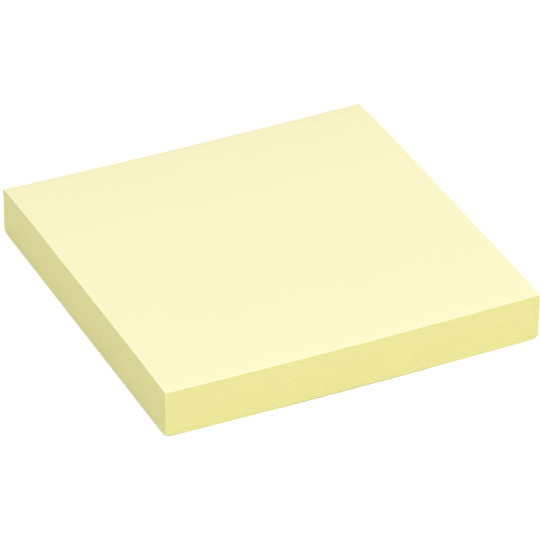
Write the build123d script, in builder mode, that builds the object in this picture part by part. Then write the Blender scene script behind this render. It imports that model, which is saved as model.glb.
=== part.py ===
"""A pad of square sticky notes: a block of gummed sheets on a release-coated backing sheet.

Frame: the origin is at the centre of the underside, +Z is up through the stack, +X runs along
the free edge and +Y points from the free edge to the gummed edge. Sizes are in millimetres.
"""

import os

from build123d import *

# ---- The sheets -------------------------------------------------------------------------
pad_width = 76.0  # along the free edge
pad_depth = 76.0  # from the free edge to the gummed edge
sheet_count = 100
sheet_thickness = 0.1  # one sheet with its share of the gum, where the stack is thickest

# ---- The backing sheet under the lowest note --------------------------------------------
backing_thickness = 0.12

# ---- The top of the block ---------------------------------------------------------------
# The knife presses the stack down as it cuts, so the top rolls off towards the free edge and
# the gummed edge. The gum lies in a band along the back. It packs the sheets thicker there,
# so the top dips a little ahead of the band and is highest just behind the band's front.
# Each drop is measured down from that highest line.
gum_band = 22.0  # width of the gummed band
crest_inset = 1.5  # from the band's front back to the highest line
dip_ahead = 10.0  # from the band's front forwards to the dip
dip_drop = 0.04
edge_drop = 0.5  # at the free edge and the gummed edge
roll_inset = 1.0  # the roll-off heads in from its edge for a point this far in
roll_drop = 0.15  # and this far down
field_run = 18.0  # how far in from the free edge the roll-off eases into the level field
crest_run = 8.5  # how far behind the highest line the top stays level

# ---- Corners knocked in handling --------------------------------------------------------
knock_reach = 0.9  # along each bottom edge, from the corner
knock_height = 0.7  # up the corner

block_top = backing_thickness + sheet_count * sheet_thickness
back_edge = pad_depth / 2
front_edge = -back_edge
band_front = back_edge - gum_band
dip = Vector(band_front - dip_ahead, block_top - dip_drop)
crest = Vector(band_front + crest_inset, block_top)


def knocked_corner(side_x: int, side_y: int) -> Plane:
    """The plane that takes a knocked bottom corner off, its normal pointing out of the pad."""
    corner = Vector(side_x * pad_width / 2, side_y * pad_depth / 2)
    top = corner + Vector(0, 0, knock_height)
    along_x = corner - Vector(side_x * knock_reach, 0)
    along_y = corner - Vector(0, side_y * knock_reach)
    outward = (along_y - top).cross(along_x - top) * (side_x * side_y)
    return Plane(origin=top, z_dir=outward)


# Both corners on the left and the front right one are knocked.
knocks = [knocked_corner(-1, -1), knocked_corner(-1, 1), knocked_corner(1, -1)]

# ---- The block of sheets ----------------------------------------------------------------
with BuildPart() as note_sheets:
    with BuildSketch(Plane.YZ.offset(-pad_width / 2)):
        with BuildLine():
            free_side = Bezier(
                (front_edge, block_top - edge_drop),
                (front_edge + roll_inset, block_top - roll_drop),
                (front_edge + field_run, dip.Y),
                dip,
            )
            middle = (dip.X + crest.X) / 2
            rise = Bezier(dip, (middle, dip.Y), (middle, crest.Y), crest)
            gummed_side = Bezier(
                crest,
                (crest.X + crest_run, crest.Y),
                (back_edge - roll_inset, block_top - roll_drop),
                (back_edge, block_top - edge_drop),
            )
            Polyline(
                gummed_side @ 1,
                (back_edge, backing_thickness),
                (front_edge, backing_thickness),
                free_side @ 0,
            )
        make_face()
    extrude(amount=pad_width)
    for knock in knocks:
        split(bisect_by=knock, keep=Keep.BOTTOM)
note_sheets.part.label = "note_sheets"

# ---- The backing sheet ------------------------------------------------------------------
with BuildPart() as backing_sheet:
    with BuildSketch():
        Rectangle(pad_width, pad_depth)
    extrude(amount=backing_thickness)
    for knock in knocks:
        split(bisect_by=knock, keep=Keep.BOTTOM)
backing_sheet.part.label = "backing_sheet"

# ---- One STEP file for each piece -------------------------------------------------------
os.makedirs("parts", exist_ok=True)
for piece in (note_sheets, backing_sheet):
    export_step(piece.part, f"parts/{piece.part.label}.step")
    print(piece.part.label, round(piece.part.volume, 2), piece.part.bounding_box())
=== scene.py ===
"""Looks of a sticky note pad: a block of gummed notes on its backing sheet, in metres.

The pad lies with its free edge towards -Y and its gummed edge towards +Y. Both pieces take their
sizes from their frame nodes and add what the frame leaves out: the ridges and grooves of the cut
sheets, a backing sheet cut slightly small, and the lift of the pad's left and right sides.
"""

import logging
import math
import random
from bisect import bisect_right
from dataclasses import dataclass, field
from enum import Enum
from functools import cached_property

import bmesh
import bpy
from mathutils import Matrix, Vector, noise
from mathutils.geometry import interpolate_bezier


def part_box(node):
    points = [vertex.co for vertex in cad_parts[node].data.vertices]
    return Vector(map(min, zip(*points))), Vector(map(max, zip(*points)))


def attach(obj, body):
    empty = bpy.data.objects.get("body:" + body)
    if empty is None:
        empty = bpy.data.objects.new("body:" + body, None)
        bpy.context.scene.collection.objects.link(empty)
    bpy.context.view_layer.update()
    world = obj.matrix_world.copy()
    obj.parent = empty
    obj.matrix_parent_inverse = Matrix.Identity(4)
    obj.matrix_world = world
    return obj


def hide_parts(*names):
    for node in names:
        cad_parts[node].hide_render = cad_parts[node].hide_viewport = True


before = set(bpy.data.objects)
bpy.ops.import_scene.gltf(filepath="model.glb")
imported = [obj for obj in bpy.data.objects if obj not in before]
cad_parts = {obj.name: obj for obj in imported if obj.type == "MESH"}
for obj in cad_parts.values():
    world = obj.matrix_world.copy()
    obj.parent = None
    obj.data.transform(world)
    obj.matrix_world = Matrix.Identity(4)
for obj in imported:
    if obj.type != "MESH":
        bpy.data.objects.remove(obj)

log = logging.getLogger("note_pad")
MM = 0.001
LEVEL = 1e-5  # what differs by less than this counts as level, on a block still 1 high
CURVE_POINTS = 160  # how finely the top's section is drawn, for each of its curves
Colour = tuple[float, float, float]


class Zone(Enum):
    """The parts of a stack of paper that take a finish of their own, by material slot."""

    FACE = 0
    CUT_EDGE = 1


class Side(Enum):
    """The four cut sides of the pad, each with the way it faces."""

    LEFT = (-1, 0)
    RIGHT = (1, 0)
    FRONT = (0, -1)
    BACK = (0, 1)


# ---- The pad's form ---------------------------------------------------------------------


@dataclass(frozen=True)
class PadForm:
    """Where the pad's surfaces lie: its outline, its rolling top, its lift and its knocks."""

    half_width: float
    half_depth: float
    top: float
    gum_band: float = 22.0 * MM
    crest_inset: float = 1.5 * MM
    dip_ahead: float = 10.0 * MM
    dip_drop: float = 0.04 * MM
    edge_drop: float = 0.5 * MM
    roll_inset: float = 1.0 * MM
    roll_drop: float = 0.15 * MM
    field_run: float = 18.0 * MM
    crest_run: float = 8.5 * MM
    side_lift: float = 0.32 * MM
    knock_reach: float = 0.9 * MM
    knock_height: float = 0.7 * MM
    knocked: tuple[tuple[int, int], ...] = ((-1, -1), (-1, 1), (1, -1))

    @cached_property
    def top_line(self) -> list[tuple[float, float]]:
        """The top's section from the free edge to the gummed edge.

        Returns:
            Points (y, height), close enough together to read between in straight lines.
        """
        band = self.half_depth - self.gum_band
        dip = (band - self.dip_ahead, self.top - self.dip_drop)
        crest = (band + self.crest_inset, self.top)
        middle = (dip[0] + crest[0]) / 2
        edge_height = self.top - self.edge_drop
        roll_height = self.top - self.roll_drop
        curves = (
            (
                (-self.half_depth, edge_height),
                (-self.half_depth + self.roll_inset, roll_height),
                (-self.half_depth + self.field_run, dip[1]),
                dip,
            ),
            (dip, (middle, dip[1]), (middle, crest[1]), crest),
            (
                crest,
                (crest[0] + self.crest_run, crest[1]),
                (self.half_depth - self.roll_inset, roll_height),
                (self.half_depth, edge_height),
            ),
        )
        points: list[tuple[float, float]] = []
        for curve in curves:
            drawn = interpolate_bezier(*(Vector((*p, 0)) for p in curve), CURVE_POINTS)
            start = 1 if points else 0  # a curve begins where the one before it ended
            points += [(p.x, p.y) for p in drawn[start:]]
        return points

    def top_at(self, y: float) -> float:
        """The height of the block's top above the flat underside, at this depth."""
        line = self.top_line
        after = min(max(bisect_right(line, (y, 0.0)), 1), len(line) - 1)
        (y0, z0), (y1, z1) = line[after - 1], line[after]
        share = (y - y0) / (y1 - y0)
        return z0 + (z1 - z0) * share

    def lift_at(self, x: float) -> float:
        """How far the pad stands off the floor, this far from its middle."""
        return self.side_lift * (x / self.half_width) ** 2

    def knock_in(self, point: Vector) -> Vector:
        """Presses a point of the flat pad in behind the planes of the knocked corners.

        Args:
            point: a place on the pad before it is lifted.

        Returns:
            The same place, or the nearest one on the knocked corner's plane.
        """
        for side_x, side_y in self.knocked:
            corner = Vector((side_x * self.half_width, side_y * self.half_depth, 0))
            outward = Vector((side_x, side_y, -self.knock_reach / self.knock_height)).normalized()
            plane_at = corner + Vector((0, 0, self.knock_height))
            beyond = (point - plane_at).dot(outward)
            if beyond > 0:
                point = point - outward * beyond
        return point


def wall_grid(cells: int, rings: int) -> bmesh.types.BMesh:
    """A closed block of side 2 and height 1, with grids for its top and underside.

    Args:
        cells: how many grid cells run along each side.
        rings: how many bands its walls are cut into.

    Returns:
        The block, its walls ringed all round.
    """
    bm = bmesh.new()
    bmesh.ops.create_grid(bm, x_segments=cells, y_segments=cells, size=1)
    cap = bmesh.ops.extrude_face_region(bm, geom=bm.faces[:])["geom"]
    raised = [g for g in cap if isinstance(g, bmesh.types.BMVert)]
    bmesh.ops.translate(bm, verts=raised, vec=(0, 0, 1))
    bmesh.ops.recalc_face_normals(bm, faces=bm.faces)
    uprights = [e for e in bm.edges if abs(e.verts[0].co.z - e.verts[1].co.z) > 0.5]
    if rings > 1:
        bmesh.ops.subdivide_edges(bm, edges=uprights, cuts=rings - 1, use_grid_fill=False)
    return bm


def dress_faces(bm: bmesh.types.BMesh) -> None:
    """Shades a block smooth, and sets its walls' finish apart from that of its flat sides.

    Args:
        bm: the block, still 1 high.
    """
    for face in bm.faces:
        heights = [v.co.z for v in face.verts]
        on_wall = max(heights) - min(heights) > LEVEL
        face.material_index = Zone.CUT_EDGE.value if on_wall else Zone.FACE.value
        face.smooth = True


def mark_creases(bm: bmesh.types.BMesh, crease: float = math.radians(40)) -> None:
    """Keeps the edges sharp whose faces meet at more than the crease angle.

    Args:
        bm: the finished block.
        crease: that angle.
    """
    bm.normal_update()
    for edge in bm.edges:
        edge.smooth = edge.calc_face_angle(0.0) < crease


def spaced(share: float) -> float:
    """Moves an evenly spaced place between -1 and 1 so that the lines close up at both ends."""
    return math.sin(share * math.pi / 2)


def finished(bm: bmesh.types.BMesh, name: str, materials: list[bpy.types.Material]) -> bpy.types.Object:
    """Makes an object of a mesh.

    Args:
        bm: the mesh, in metres in the row frame. It is freed.
        name: the piece's name.
        materials: its finishes, in the order of Zone.

    Returns:
        The object, linked to the scene.
    """
    mesh = bpy.data.meshes.new(name)
    bm.to_mesh(mesh)
    bm.free()
    for material in materials:
        mesh.materials.append(material)
    piece = bpy.data.objects.new(name, mesh)
    bpy.context.scene.collection.objects.link(piece)
    return piece


# ---- Finishes ---------------------------------------------------------------------------


class NodeBench:
    """Lays out a material's nodes, with patterns measured in millimetres."""

    def __init__(self, name: str) -> None:
        """Starts a material with a bare Principled shader.

        Args:
            name: the material's name.
        """
        self.material = bpy.data.materials.new(name)
        self.material.use_nodes = True
        self.tree = self.material.node_tree
        self.tree.nodes.clear()
        self.shader = self.tree.nodes.new("ShaderNodeBsdfPrincipled")
        output = self.tree.nodes.new("ShaderNodeOutputMaterial")
        self.link(self.shader.outputs["BSDF"], output.inputs["Surface"])

    def link(self, start: bpy.types.NodeSocket, end: bpy.types.NodeSocket) -> None:
        """Joins an output to an input."""
        self.tree.links.new(start, end)

    def place(self, scale: tuple[float, float, float] = (1, 1, 1)) -> bpy.types.NodeSocket:
        """The place on the piece, in millimetres times scale."""
        where = self.tree.nodes.new("ShaderNodeTexCoord")
        mapping = self.tree.nodes.new("ShaderNodeMapping")
        mapping.inputs["Scale"].default_value = tuple(s / MM for s in scale)
        self.link(where.outputs["Object"], mapping.inputs["Vector"])
        return mapping.outputs["Vector"]

    def noise(
        self,
        place: bpy.types.NodeSocket,
        per_mm: float,
        detail: float = 4.0,
        roughness: float = 0.6,
        distortion: float = 0.0,
    ) -> bpy.types.NodeSocket:
        """A cloudy pattern, from 0 to 1.

        Args:
            place: where the pattern is read, in millimetres.
            per_mm: how many blotches there are to the millimetre.
            detail: how many finer layers it has.
            roughness: how strong the finer layers are.
            distortion: how much the blotches are drawn out.

        Returns:
            The pattern's value.
        """
        node = self.tree.nodes.new("ShaderNodeTexNoise")
        node.inputs["Scale"].default_value = per_mm
        node.inputs["Detail"].default_value = detail
        node.inputs["Roughness"].default_value = roughness
        node.inputs["Distortion"].default_value = distortion
        self.link(place, node.inputs["Vector"])
        return node.outputs["Fac"]

    def ranged(
        self,
        value: bpy.types.NodeSocket,
        low: float,
        high: float,
        start: float = 0.3,
        end: float = 0.7,
    ) -> bpy.types.NodeSocket:
        """The value carried from the span between start and end to the one from low to high."""
        node = self.tree.nodes.new("ShaderNodeMapRange")
        node.inputs["From Min"].default_value = start
        node.inputs["From Max"].default_value = end
        node.inputs["To Min"].default_value = low
        node.inputs["To Max"].default_value = high
        self.link(value, node.inputs["Value"])
        return node.outputs["Result"]

    def math(
        self, operation: str, first: bpy.types.NodeSocket, second: bpy.types.NodeSocket | float
    ) -> bpy.types.NodeSocket:
        """One sum, such as ADD or MULTIPLY, of a value with another value or a number."""
        node = self.tree.nodes.new("ShaderNodeMath")
        node.operation = operation
        self.link(first, node.inputs[0])
        if isinstance(second, (int, float)):
            node.inputs[1].default_value = second
        else:
            self.link(second, node.inputs[1])
        return node.outputs["Value"]

    def blend(
        self,
        share: bpy.types.NodeSocket,
        first: bpy.types.NodeSocket | Colour,
        second: bpy.types.NodeSocket | Colour,
    ) -> bpy.types.NodeSocket:
        """A colour between two, the second where share is 1."""
        node = self.tree.nodes.new("ShaderNodeMix")
        node.data_type = "RGBA"
        self.link(share, node.inputs["Factor"])
        for socket, colour in ((node.inputs[6], first), (node.inputs[7], second)):
            if isinstance(colour, tuple):
                socket.default_value = (*colour, 1)
            else:
                self.link(colour, socket)
        return node.outputs[2]

    def attribute(self, name: str) -> bpy.types.NodeSocket:
        """The value that the mesh holds under this name."""
        node = self.tree.nodes.new("ShaderNodeAttribute")
        node.attribute_name = name
        return node.outputs["Fac"]

    def bump(self, height: bpy.types.NodeSocket, depth: float, strength: float = 1.0) -> None:
        """Gives the surface a relief of this depth, in metres."""
        node = self.tree.nodes.new("ShaderNodeBump")
        node.inputs["Strength"].default_value = strength
        node.inputs["Distance"].default_value = depth
        self.link(height, node.inputs["Height"])
        self.link(node.outputs["Normal"], self.shader.inputs["Normal"])


def shaded(colour: Colour, factor: float) -> Colour:
    """The colour made lighter or darker by a factor."""
    return tuple(channel * factor for channel in colour)


@dataclass(frozen=True)
class NoteFace:
    """The writing face of the top note: matt uncoated paper, dyed right through."""

    name: str = "note_face"
    colour: Colour = (0.92, 0.885, 0.54)
    gummed_colour: Colour = (0.92, 0.875, 0.52)
    clouds_per_mm: float = 0.09
    cloud_tint: Colour = (0.5, 0.47, 0.2)
    cloud_contrast: float = 0.012
    fibres_per_mm: float = 2.4
    fibre_tint: Colour = (0.55, 0.5, 0.2)
    fibre_contrast: float = 0.02
    band_fade: tuple[float, float] = (-1.5, 6.0)
    roughness: tuple[float, float] = (0.78, 0.87)
    relief: float = 0.012 * MM

    def make(self, band_front: float) -> bpy.types.Material:
        """Builds the material.

        Args:
            band_front: the depth at which the gummed band begins.

        Returns:
            The material.
        """
        bench = NodeBench(self.name)
        place = bench.place()
        clouds = bench.noise(place, self.clouds_per_mm, detail=3)
        fibres = bench.noise(place, self.fibres_per_mm, detail=5, roughness=0.7, distortion=0.6)
        across = bench.tree.nodes.new("ShaderNodeSeparateXYZ")
        bench.link(place, across.inputs["Vector"])
        edge = band_front / MM
        before, behind = self.band_fade
        gummed = bench.ranged(across.outputs["Y"], 0, 1, start=edge + before, end=edge + behind)
        ground = bench.blend(gummed, self.colour, self.gummed_colour)
        cloudy = bench.blend(
            bench.ranged(clouds, 0, self.cloud_contrast), ground, self.cloud_tint
        )
        mottled = bench.blend(
            bench.ranged(fibres, 0, self.fibre_contrast), cloudy, self.fibre_tint
        )
        bench.link(mottled, bench.shader.inputs["Base Color"])
        bench.link(bench.ranged(fibres, *self.roughness), bench.shader.inputs["Roughness"])
        bench.bump(fibres, self.relief, strength=0.6)
        return bench.material


@dataclass(frozen=True)
class CutEdge:
    """The look of sheets cut through in a stack: deeper in colour than their faces, partly the cut
    paper's own look and partly painted shade of light caught between the sheets.
    """

    name: str = "cut_edge"
    # darker and deeper than the face colour: partly painted shade between the sheets
    colour: Colour = (0.838, 0.80, 0.325)
    # painted shade: the darker colour laid into the grooves between the sheets
    groove_painted_shade: Colour = (0.66, 0.62, 0.22)
    tone_contrast: float = 0.06
    tone_shade: float = 0.6
    grain_stretch: tuple[float, float, float] = (0.35, 0.35, 6.0)
    grain_per_mm: float = 1.6
    grain_contrast: float = 0.07
    grain_shade: float = 0.55
    blotches_per_mm: float = 0.12
    blotch_contrast: float = 0.03
    groove_shade_strength: float = 0.6
    roughness: tuple[float, float] = (0.55, 0.64)
    sheen: float = 0.3
    sheen_roughness: float = 0.4
    relief: float = 0.01 * MM

    def make(self) -> bpy.types.Material:
        """Builds the material. It reads each sheet's own tone from the mesh, and the grooves, where it
        paints shade.
        """
        bench = NodeBench(self.name)
        stretched = bench.place(self.grain_stretch)
        grain = bench.noise(stretched, self.grain_per_mm, detail=4, roughness=0.65)
        blotches = bench.noise(bench.place(), self.blotches_per_mm, detail=2)
        tone = bench.ranged(bench.attribute("sheet_tone"), 0, self.tone_contrast, 0, 1)
        dark = shaded(self.colour, self.tone_shade)
        toned = bench.blend(tone, self.colour, dark)
        grained = bench.blend(
            bench.ranged(grain, 0, self.grain_contrast),
            toned,
            shaded(self.colour, self.grain_shade),
        )
        cloudy = bench.blend(bench.ranged(blotches, 0, self.blotch_contrast), grained, dark)
        # painted shade: the walls darken towards the groove colour along the groove rings
        groove = bench.math("MULTIPLY", bench.attribute("groove"), self.groove_shade_strength)
        bench.link(
            bench.blend(groove, cloudy, self.groove_painted_shade), bench.shader.inputs["Base Color"]
        )
        bench.link(bench.ranged(grain, *self.roughness), bench.shader.inputs["Roughness"])
        bench.shader.inputs["Sheen Weight"].default_value = self.sheen
        bench.shader.inputs["Sheen Roughness"].default_value = self.sheen_roughness
        bench.bump(grain, self.relief, strength=0.6)
        return bench.material


@dataclass(frozen=True)
class BackingPaper:
    """The backing sheet: pale calendered paper with a thin release coat."""

    name: str = "backing_paper"
    colour: Colour = (0.84, 0.83, 0.77)
    clouds_per_mm: float = 0.35
    cloud_contrast: float = 0.08
    cloud_shade: float = 0.6
    fibres_per_mm: float = 3.0
    fibre_contrast: float = 0.05
    fibre_shade: float = 0.5
    roughness: tuple[float, float] = (0.44, 0.58)
    relief: float = 0.006 * MM

    def make(self) -> bpy.types.Material:
        """Builds the material."""
        bench = NodeBench(self.name)
        place = bench.place()
        clouds = bench.noise(place, self.clouds_per_mm, detail=5, roughness=0.55)
        fibres = bench.noise(place, self.fibres_per_mm, detail=4, roughness=0.7, distortion=0.8)
        cloudy = bench.blend(
            bench.ranged(clouds, 0, self.cloud_contrast),
            self.colour,
            shaded(self.colour, self.cloud_shade),
        )
        mottled = bench.blend(
            bench.ranged(fibres, 0, self.fibre_contrast),
            cloudy,
            shaded(self.colour, self.fibre_shade),
        )
        bench.link(mottled, bench.shader.inputs["Base Color"])
        bench.link(bench.ranged(clouds, *self.roughness), bench.shader.inputs["Roughness"])
        bench.bump(fibres, self.relief, strength=0.5)
        return bench.material


# ---- The pieces -------------------------------------------------------------------------


@dataclass
class NoteStack:
    """The block of notes, with a ridge for the cut edge of each sheet and a groove between."""

    form: PadForm
    base: float
    sheets: int = 100
    bands_per_sheet: int = 3
    cells: int = 40
    groove_depth: float = 0.02 * MM
    slip: float = 0.012 * MM
    drift: float = 0.02 * MM
    drift_sheets: float = 14.0
    wander: float = 0.008 * MM
    wander_length: float = 9 * MM
    seed: int = 7
    offsets: dict[Side, list[float]] = field(default_factory=dict)

    def deal_sheets(self) -> None:
        """Settles how far each sheet stands out on each side: its own slip, and a slow drift."""
        dealer = random.Random(self.seed)
        for side in Side:
            phase = dealer.uniform(0, 100)
            self.offsets[side] = [
                dealer.uniform(-self.slip, self.slip)
                + self.drift * noise.noise(Vector((phase + sheet / self.drift_sheets, 0, 0)))
                for sheet in range(self.sheets)
            ]

    def edge_offset(self, side: Side, ring: int, along: float) -> float:
        """How far a point on a wall stands out from the pad's plain outline.

        Args:
            side: the wall that the point is on.
            ring: which ring of the walls it is on, counted from the underside.
            along: how far along the wall it is.

        Returns:
            The distance, outwards if above 0.
        """
        sheet = min(ring // self.bands_per_sheet, self.sheets - 1)
        apart = (sheet * 0.61, sum(side.value) * 5.3)  # sheets and sides wander separately
        wave = noise.noise(Vector((along / self.wander_length, *apart)))
        groove = self.groove_depth if ring % self.bands_per_sheet == 0 else 0.0
        return self.offsets[side][sheet] + self.wander * wave - groove

    def shape(self) -> bmesh.types.BMesh:
        """The block's mesh, in the row frame, with each sheet's tone noted, and its grooves, which the
        cut edge paints with shade.
        """
        rings = self.sheets * self.bands_per_sheet
        bm = wall_grid(self.cells, rings)
        dress_faces(bm)
        tone = bm.verts.layers.float.new("sheet_tone")
        # marks the groove rings, where the cut edge paints shade
        groove = bm.verts.layers.float.new("groove")
        dealer = random.Random(self.seed + 1)
        tones = [dealer.random() for _ in range(self.sheets)]
        for vert in bm.verts:
            flat_x, flat_y, level = vert.co
            ring = round(level * rings)
            x = self.form.half_width * spaced(flat_x)
            y = self.form.half_depth * spaced(flat_y)
            out_x = abs(flat_x) > 1 - LEVEL
            out_y = abs(flat_y) > 1 - LEVEL
            place_x, place_y = x, y
            if out_x:
                side = Side.RIGHT if x > 0 else Side.LEFT
                place_x += math.copysign(1, x) * self.edge_offset(side, ring, y)
            if out_y:
                side = Side.BACK if y > 0 else Side.FRONT
                place_y += math.copysign(1, y) * self.edge_offset(side, ring, x)
            vert[tone] = tones[min(ring // self.bands_per_sheet, self.sheets - 1)]
            # 1 on the walls' groove rings: where painted shade goes
            vert[groove] = 1.0 if (out_x or out_y) and ring % self.bands_per_sheet == 0 else 0.0
            height = self.base + (self.form.top_at(y) - self.base) * level
            flat = self.form.knock_in(Vector((place_x, place_y, height)))
            flat.z += self.form.lift_at(flat.x)
            vert.co = flat
        mark_creases(bm)
        return bm

    def build(self, face: bpy.types.Material, edge: bpy.types.Material) -> bpy.types.Object:
        """Makes the piece and puts it in place of the frame's block."""
        self.deal_sheets()
        piece = finished(self.shape(), "note_stack", [face, edge])
        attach(piece, "root")
        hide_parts("note_sheets")
        return piece


@dataclass
class BackingSheet:
    """The sheet under the lowest note, cut a hair small."""

    form: PadForm
    thickness: float
    shy: float = 0.25 * MM
    cells: int = 40

    def shape(self) -> bmesh.types.BMesh:
        """The sheet's mesh, in the row frame."""
        bm = wall_grid(self.cells, 1)
        dress_faces(bm)
        for vert in bm.verts:
            flat_x, flat_y, level = vert.co
            x = (self.form.half_width - self.shy) * spaced(flat_x)
            y = (self.form.half_depth - self.shy) * spaced(flat_y)
            flat = self.form.knock_in(Vector((x, y, level * self.thickness)))
            flat.z += self.form.lift_at(flat.x)
            vert.co = flat
        mark_creases(bm)
        return bm

    def build(self, paper: bpy.types.Material) -> bpy.types.Object:
        """Makes the piece and puts it in place of the frame's sheet."""
        piece = finished(self.shape(), "backing_liner", [paper, paper])
        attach(piece, "root")
        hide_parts("backing_sheet")
        return piece


# ---- The studio -------------------------------------------------------------------------


def direction(azimuth: float, elevation: float) -> Vector:
    """The way to a place seen from the pad, both angles in degrees, 0 azimuth towards -Y."""
    a = math.radians(azimuth)
    e = math.radians(elevation)
    return Vector((math.sin(a) * math.cos(e), -math.cos(a) * math.cos(e), math.sin(e)))


@dataclass(frozen=True)
class Softbox:
    """A square soft light aimed at the pad. Its share is what it adds to a surface facing it."""

    name: str
    azimuth: float
    elevation: float
    share: float
    colour: Colour = (1.0, 1.0, 1.0)
    distance: float = 1.4
    size: float = 0.9

    def build(self) -> None:
        """Hangs the light. A surface facing it gains its share of a white world's light."""
        light = bpy.data.lights.new(self.name, "AREA")
        light.shape = "SQUARE"
        light.size = self.size
        light.energy = self.share * math.pi**2 * self.distance**2
        light.color = self.colour
        lamp = bpy.data.objects.new(self.name, light)
        away = direction(self.azimuth, self.elevation)
        lamp.location = away * self.distance
        lamp.rotation_mode = "QUATERNION"
        lamp.rotation_quaternion = away.to_track_quat("Z", "Y")
        bpy.context.scene.collection.objects.link(lamp)


@dataclass(frozen=True)
class Crevice:
    """A painted contact shadow on the floor: it goes dark at a place that sees little past the pad in
    one direction.
    """

    reach: float
    towards: tuple[float, float, float]
    shut: float
    open: float

    def openness(self, tree: bpy.types.NodeTree) -> bpy.types.NodeSocket:
        """How open the floor is, from 0 in the crevice to 1 clear of it: the mask of the painted
        shadow.
        """
        seen = tree.nodes.new("ShaderNodeAmbientOcclusion")
        seen.inputs["Distance"].default_value = self.reach
        towards = tree.nodes.new("ShaderNodeCombineXYZ")
        for axis, part in zip("XYZ", self.towards):
            towards.inputs[axis].default_value = part
        ramp = tree.nodes.new("ShaderNodeMapRange")
        ramp.inputs["From Min"].default_value = self.shut
        ramp.inputs["From Max"].default_value = self.open
        tree.links.new(towards.outputs["Vector"], seen.inputs["Normal"])
        tree.links.new(seen.outputs["AO"], ramp.inputs["Value"])
        return ramp.outputs["Result"]


def camera_ray(tree: bpy.types.NodeTree) -> bpy.types.NodeSocket:
    """1 for what the camera sees at first hand and 0 for light on its way elsewhere."""
    return tree.nodes.new("ShaderNodeLightPath").outputs["Is Camera Ray"]


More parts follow.
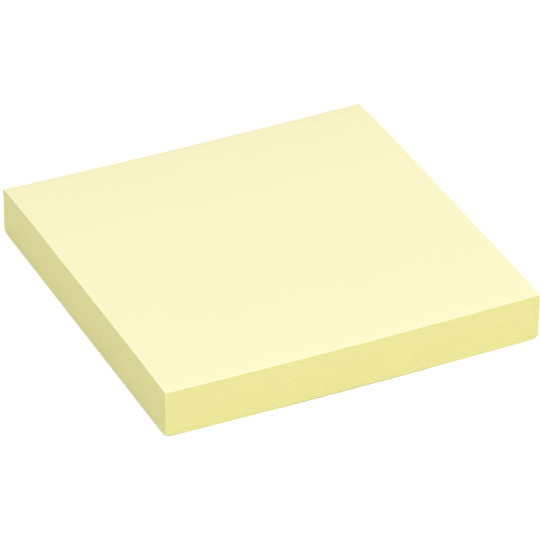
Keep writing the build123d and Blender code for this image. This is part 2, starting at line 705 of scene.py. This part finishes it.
@dataclass
class Studio:
    """A plain white sweep, soft lights and the camera."""

    boxes: tuple[Softbox, ...] = (
        Softbox("key", azimuth=25, elevation=42, share=0.6),
        Softbox("fill", azimuth=-95, elevation=40, share=0.33, colour=(0.97, 0.99, 1.16)),
        Softbox("rear", azimuth=170, elevation=45, share=0.08),
    )
    ambient: float = 0.47
    backdrop: float = 1.05
    floor_colour: Colour = (0.85, 0.85, 0.85)
    # painted shadow: the floor's colour in the pad's crevices
    painted_shadow_colour: Colour = (0.2, 0.19, 0.16)
    floor_glow: float = 0.5
    # two painted shadows: a thin contact line all round, and a wider one where the floor sees little
    # towards the front right
    crevices: tuple[Crevice, Crevice] = (
        Crevice(reach=0.25 * MM, towards=(0, 0, 1), shut=0.25, open=0.48),
        Crevice(reach=0.7 * MM, towards=(0.5, -0.8, 0.33), shut=0.25, open=0.45),
    )
    floor_size: float = 12.0
    floor_gap: float = 0.02 * MM
    lens: float = 300.85
    camera_azimuth: float = -25.348
    camera_elevation: float = 33.074
    camera_roll: float = 0.225
    camera_distance: float = 0.8553
    camera_shift: tuple[float, float] = (0.659 * MM, 2.937 * MM)

    def build_world(self) -> None:
        """Even light from all round, in front of a white backdrop."""
        world = bpy.data.worlds.new("studio")
        world.use_nodes = True
        tree = world.node_tree
        tree.nodes.clear()
        backdrop = tree.nodes.new("ShaderNodeBackground")
        backdrop.inputs["Color"].default_value = (1, 1, 1, 1)
        strength = tree.nodes.new("ShaderNodeMapRange")
        strength.inputs["To Min"].default_value = self.ambient
        strength.inputs["To Max"].default_value = self.backdrop
        output = tree.nodes.new("ShaderNodeOutputWorld")
        tree.links.new(camera_ray(tree), strength.inputs["Value"])
        tree.links.new(strength.outputs["Result"], backdrop.inputs["Strength"])
        tree.links.new(backdrop.outputs["Background"], output.inputs["Surface"])
        bpy.context.scene.world = world

    def floor_material(self) -> bpy.types.Material:
        """White paint that glows a little for the camera, except in the pad's crevices, where glow and
        paint give way to a painted shadow.
        """
        material = bpy.data.materials.new("sweep")
        material.use_nodes = True
        tree = material.node_tree
        tree.nodes.clear()
        lit = tree.nodes.new("ShaderNodeMath")
        lit.operation = "MINIMUM"
        # the painted shadow's mask: the lesser openness of the two crevices
        for socket, crevice in zip(lit.inputs, self.crevices):
            tree.links.new(crevice.openness(tree), socket)
        shade = tree.nodes.new("ShaderNodeMix")
        shade.data_type = "RGBA"
        shade.inputs[6].default_value = (*self.painted_shadow_colour, 1)
        shade.inputs[7].default_value = (*self.floor_colour, 1)
        paint = tree.nodes.new("ShaderNodeBsdfDiffuse")
        # the camera's glow fades out in the crevices too, as part of the painted shadow
        seen = tree.nodes.new("ShaderNodeMath")
        seen.operation = "MULTIPLY"
        glow = tree.nodes.new("ShaderNodeEmission")
        bright = tree.nodes.new("ShaderNodeMath")
        bright.operation = "MULTIPLY"
        bright.inputs[1].default_value = self.floor_glow
        both = tree.nodes.new("ShaderNodeAddShader")
        output = tree.nodes.new("ShaderNodeOutputMaterial")
        tree.links.new(lit.outputs["Value"], shade.inputs["Factor"])
        tree.links.new(shade.outputs[2], paint.inputs["Color"])
        tree.links.new(lit.outputs["Value"], seen.inputs[0])
        tree.links.new(camera_ray(tree), seen.inputs[1])
        tree.links.new(seen.outputs["Value"], bright.inputs[0])
        tree.links.new(bright.outputs["Value"], glow.inputs["Strength"])
        tree.links.new(paint.outputs["BSDF"], both.inputs[0])
        tree.links.new(glow.outputs["Emission"], both.inputs[1])
        tree.links.new(both.outputs["Shader"], output.inputs["Surface"])
        return material

    def build_floor(self) -> None:
        """Lays the floor, a hair under the pad."""
        bm = bmesh.new()
        bmesh.ops.create_grid(bm, x_segments=1, y_segments=1, size=self.floor_size / 2)
        bmesh.ops.translate(bm, verts=bm.verts, vec=(0, 0, -self.floor_gap))
        finished(bm, "floor", [self.floor_material()])

    def build_camera(self) -> None:
        """A long lens, high in front of the pad and a little to its left."""
        back = direction(self.camera_azimuth, self.camera_elevation)
        level = back.to_track_quat("Z", "Y").to_matrix()
        turn = level @ Matrix.Rotation(math.radians(self.camera_roll), 3, "Z")
        right, up = turn.col[0], turn.col[1]
        data = bpy.data.cameras.new("camera")
        data.lens = self.lens
        data.sensor_width = 36.0
        data.clip_start = 0.05
        data.clip_end = 50.0
        camera = bpy.data.objects.new("camera", data)
        aside, above = self.camera_shift
        camera.location = back * self.camera_distance + right * aside + up * above
        camera.rotation_mode = "QUATERNION"
        camera.rotation_quaternion = turn.to_quaternion()
        bpy.context.scene.collection.objects.link(camera)
        bpy.context.scene.camera = camera

    def build(self) -> None:
        """Sets up the whole studio."""
        bpy.context.scene.view_settings.view_transform = "Standard"
        self.build_world()
        self.build_floor()
        self.build_camera()
        for box in self.boxes:
            box.build()


def main() -> None:
    """Builds the pad and its studio, and reports each piece."""
    logging.basicConfig(level=logging.INFO, format="%(name)s: %(message)s")
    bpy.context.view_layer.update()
    block_low, block_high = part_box("note_sheets")
    form = PadForm(half_width=block_high.x, half_depth=block_high.y, top=block_high.z)
    band_front = form.half_depth - form.gum_band
    stack = NoteStack(form, base=block_low.z)
    backing = BackingSheet(form, thickness=block_low.z)
    pieces = (
        stack.build(NoteFace().make(band_front), CutEdge().make()),
        backing.build(BackingPaper().make()),
    )
    for piece in pieces:
        size = ", ".join(f"{side / MM:.2f}" for side in piece.dimensions)
        log.info("%s: %d faces, %s mm", piece.name, len(piece.data.polygons), size)
    Studio().build()


if __name__ == "__main__":
    main()
